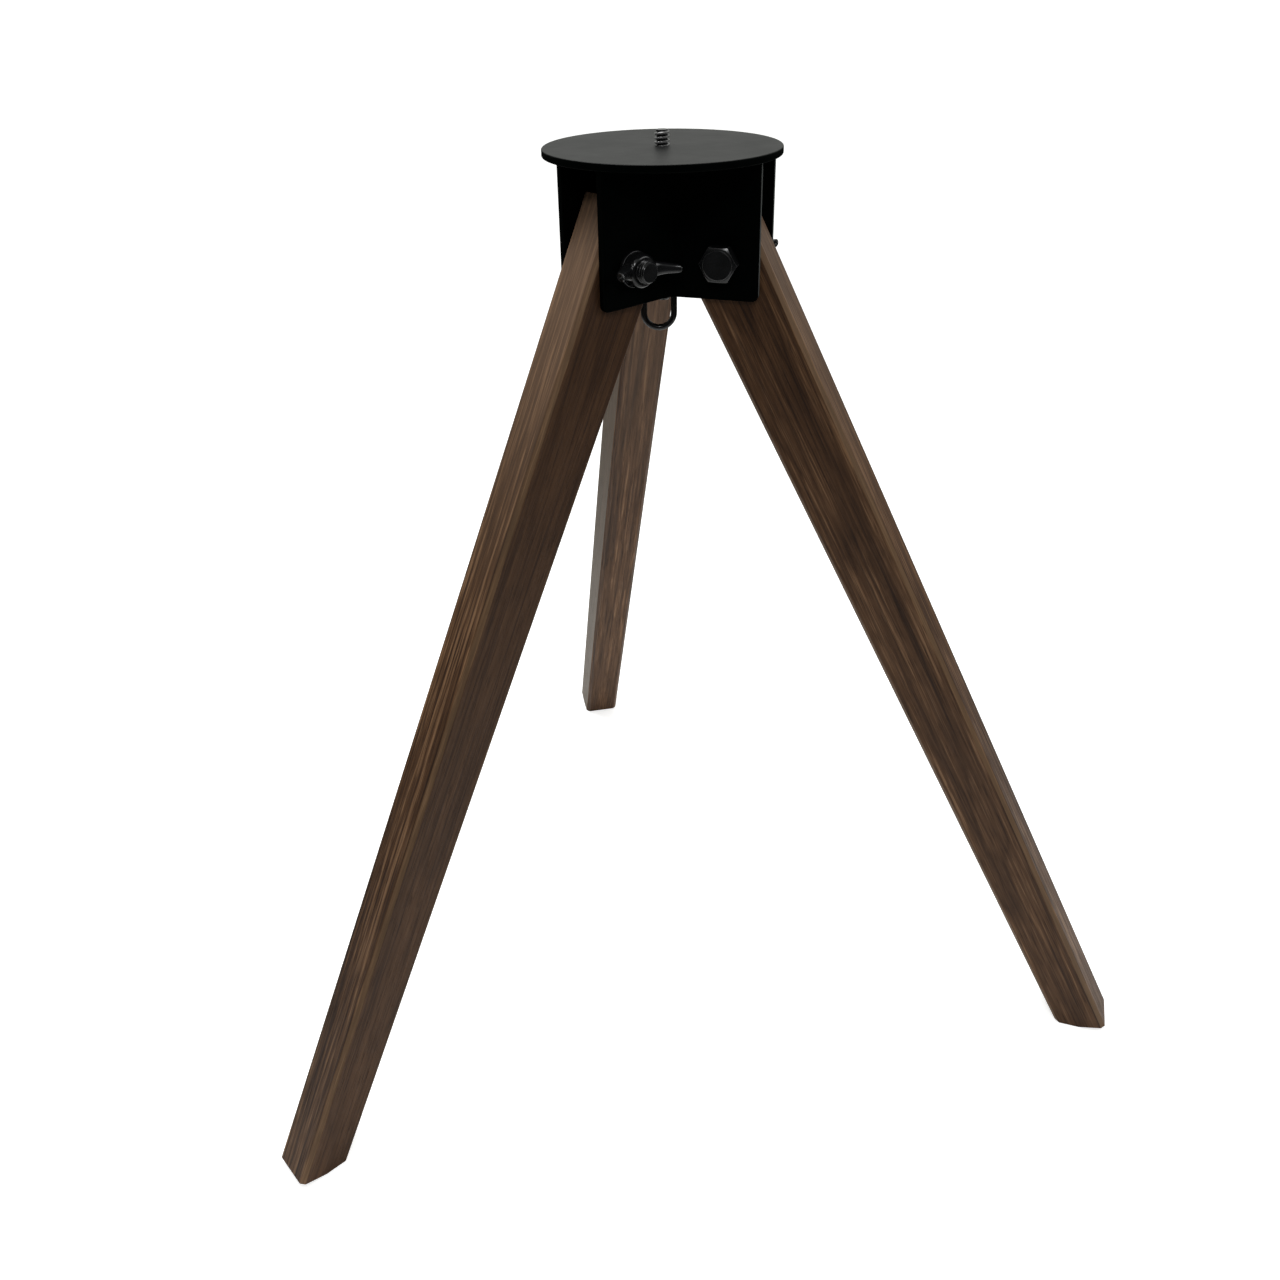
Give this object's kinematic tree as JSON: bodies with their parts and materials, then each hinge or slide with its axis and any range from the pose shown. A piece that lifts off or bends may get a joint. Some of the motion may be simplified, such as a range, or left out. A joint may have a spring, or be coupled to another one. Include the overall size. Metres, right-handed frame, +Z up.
{
  "type": "wooden field tripod",
  "caption": "Low tripod stand: round black top plate with a threaded camera stud, folded steel brackets and tapered walnut legs that fold on bolts with wing nuts.",
  "frame": {"origin": "foot of the camera stud, on the centre of the plate's top face", "axes": "+Z up along the stud, -Y out of the front bracket, +Y along the rear leg; the floor is 434.2 mm below the origin"},
  "size_m": [0.4266, 0.3701, 0.4406],
  "materials": {
    "black_paint": "satin powder coat",
    "black_hardware": "black oxide",
    "walnut": "oiled, open grain"
  },
  "bodies": {
    "head": {"top_plate": "black_paint", "bracket_front": "black_paint", "bracket_right": "black_paint", "bracket_left": "black_paint", "screw_bushing": "black_paint", "bolt_front_left": "black_hardware", "bolt_front_right": "black_hardware", "bolt_rear": "black_hardware"},
    "left_leg": {"leg_front_left": "walnut"},
    "left_washer": {"washer_front_left": "black_hardware"},
    "left_wing_nut": {"wing_nut_front_left": "black_hardware"},
    "right_leg": {"leg_front_right": "walnut"},
    "right_washer": {"washer_front_right": "black_hardware"},
    "right_wing_nut": {"wing_nut_front_right": "black_hardware"},
    "rear_leg": {"leg_rear": "walnut"},
    "rear_washer": {"washer_rear": "black_hardware"},
    "rear_wing_nut": {"wing_nut_rear": "black_hardware"},
    "centre_screw": {"camera_screw": "black_hardware", "screw_collar": "black_hardware"},
    "ring": {"d_ring": "black_hardware"}
  },
  "joints": [
    {"name": "left_leg_fold", "type": "hinge", "parent": "head", "child": "left_leg", "pos_m": [-0.02556, -0.01476, -0.0445], "axis": [0.5, -0.866, 0], "range_deg": [0, 27.1]},
    {"name": "left_washer_slide", "type": "slide", "parent": "head", "child": "left_washer", "axis": [0.5, -0.866, 0], "range_m": [0, 0.00159]},
    {"name": "left_nut_turn", "type": "hinge", "parent": "left_washer", "child": "left_wing_nut", "pos_m": [-0.02556, -0.01476, -0.0445], "axis": [0.5, -0.866, 0], "range_deg": [0, 360]},
    {"name": "right_leg_fold", "type": "hinge", "parent": "head", "child": "right_leg", "pos_m": [0.02556, -0.01476, -0.0445], "axis": [0.5, 0.866, 0], "range_deg": [0, 27.1]},
    {"name": "right_washer_slide", "type": "slide", "parent": "head", "child": "right_washer", "axis": [0.5, 0.866, 0], "range_m": [0, 0.00159]},
    {"name": "right_nut_turn", "type": "hinge", "parent": "right_washer", "child": "right_wing_nut", "pos_m": [0.02556, -0.01476, -0.0445], "axis": [0.5, 0.866, 0], "range_deg": [0, 360]},
    {"name": "rear_leg_fold", "type": "hinge", "parent": "head", "child": "rear_leg", "pos_m": [0, 0.02951, -0.0445], "axis": [-1, 0, 0], "range_deg": [0, 27.1]},
    {"name": "rear_washer_slide", "type": "slide", "parent": "head", "child": "rear_washer", "axis": [-1, 0, 0], "range_m": [0, 0.00159]},
    {"name": "rear_nut_turn", "type": "hinge", "parent": "rear_washer", "child": "rear_wing_nut", "pos_m": [0, 0.02951, -0.0445], "axis": [-1, 0, 0], "range_deg": [0, 360]},
    {"name": "screw_turn", "type": "hinge", "parent": "head", "child": "centre_screw", "pos_m": [0, 0, 0], "axis": [0, 0, 1], "continuous": true},
    {"name": "ring_swing", "type": "hinge", "parent": "centre_screw", "child": "ring", "pos_m": [0, 0, -0.0613], "axis": [0.9781, -0.2079, 0], "range_deg": [-35, 35]}
  ],
  "couplings": [
    {"joint": "left_nut_turn", "follows": "left_washer_slide", "rad_per_m": 3957.9},
    {"joint": "right_nut_turn", "follows": "right_washer_slide", "rad_per_m": 3957.9},
    {"joint": "rear_nut_turn", "follows": "rear_washer_slide", "rad_per_m": 3957.9}
  ]
}
